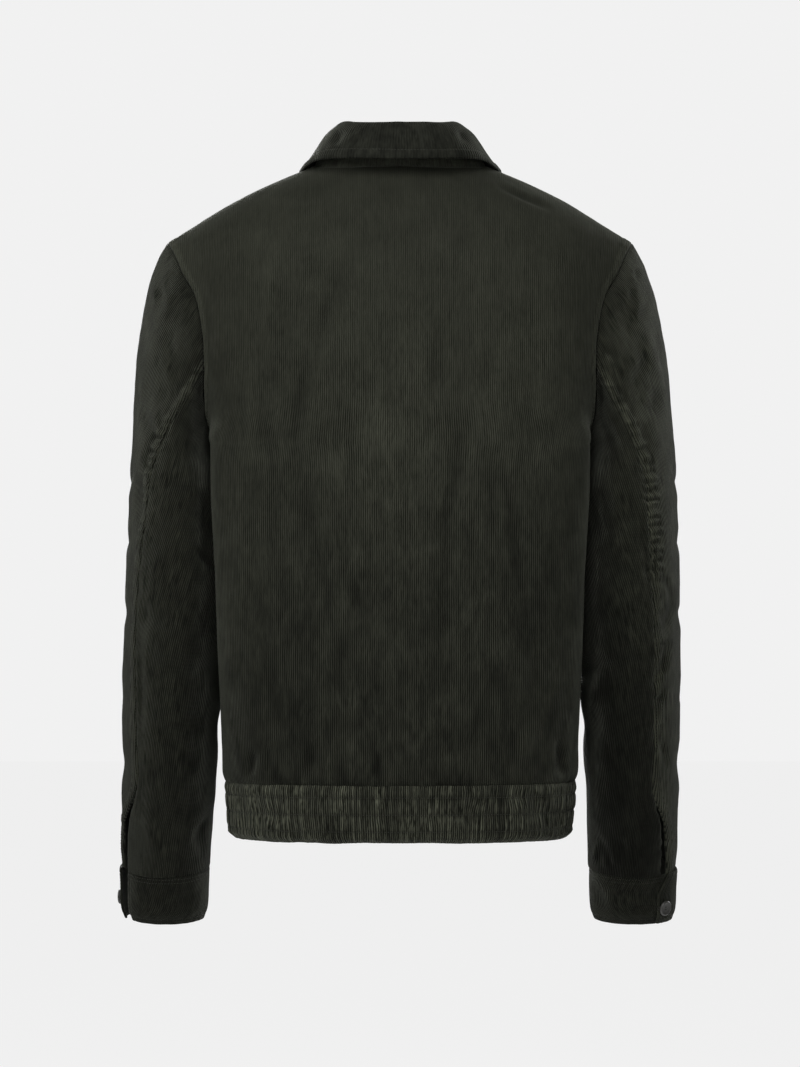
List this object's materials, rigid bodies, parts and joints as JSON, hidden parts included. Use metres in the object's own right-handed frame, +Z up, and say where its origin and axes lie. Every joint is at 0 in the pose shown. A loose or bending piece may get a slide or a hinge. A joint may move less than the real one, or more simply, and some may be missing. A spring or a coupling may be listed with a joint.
{
  "type": "corduroy jacket",
  "caption": "Waist-length corduroy jacket with a shirt collar, gathered elastic waistband and buttoned cuffs, filled out hollow with neck, hem and sleeves open.",
  "frame": {"origin": "middle of the neck's base, on the line through the two neck points of the shoulder seams, where the wearer's shoulders and neck hold the garment up", "axes": "+Z up, +X to the wearer's left, +Y to the wearer's back, so the front faces -Y"},
  "size_m": [0.5578, 0.2622, 0.785],
  "materials": {
    "corduroy": "ribbed pile, matt",
    "corduroy_trim": "ribbed pile, matt",
    "button_horn": "satin"
  },
  "bodies": {
    "root": {"back": "corduroy", "front_left": "corduroy", "front_right": "corduroy", "top_sleeve_left": "corduroy", "top_sleeve_right": "corduroy", "under_sleeve_left": "corduroy", "under_sleeve_right": "corduroy", "waistband_back": "corduroy_trim", "waistband_front_left": "corduroy_trim", "waistband_front_right": "corduroy_trim", "cuff_left": "corduroy_trim", "cuff_right": "corduroy_trim", "collar_stand": "corduroy_trim", "collar_fall": "corduroy_trim", "button_front_1": "button_horn", "button_front_2": "button_horn", "button_front_3": "button_horn", "button_front_4": "button_horn", "button_front_5": "button_horn", "button_front_6": "button_horn", "button_waistband": "button_horn", "button_cuff_left": "button_horn", "button_cuff_right": "button_horn"}
  },
  "joints": []
}
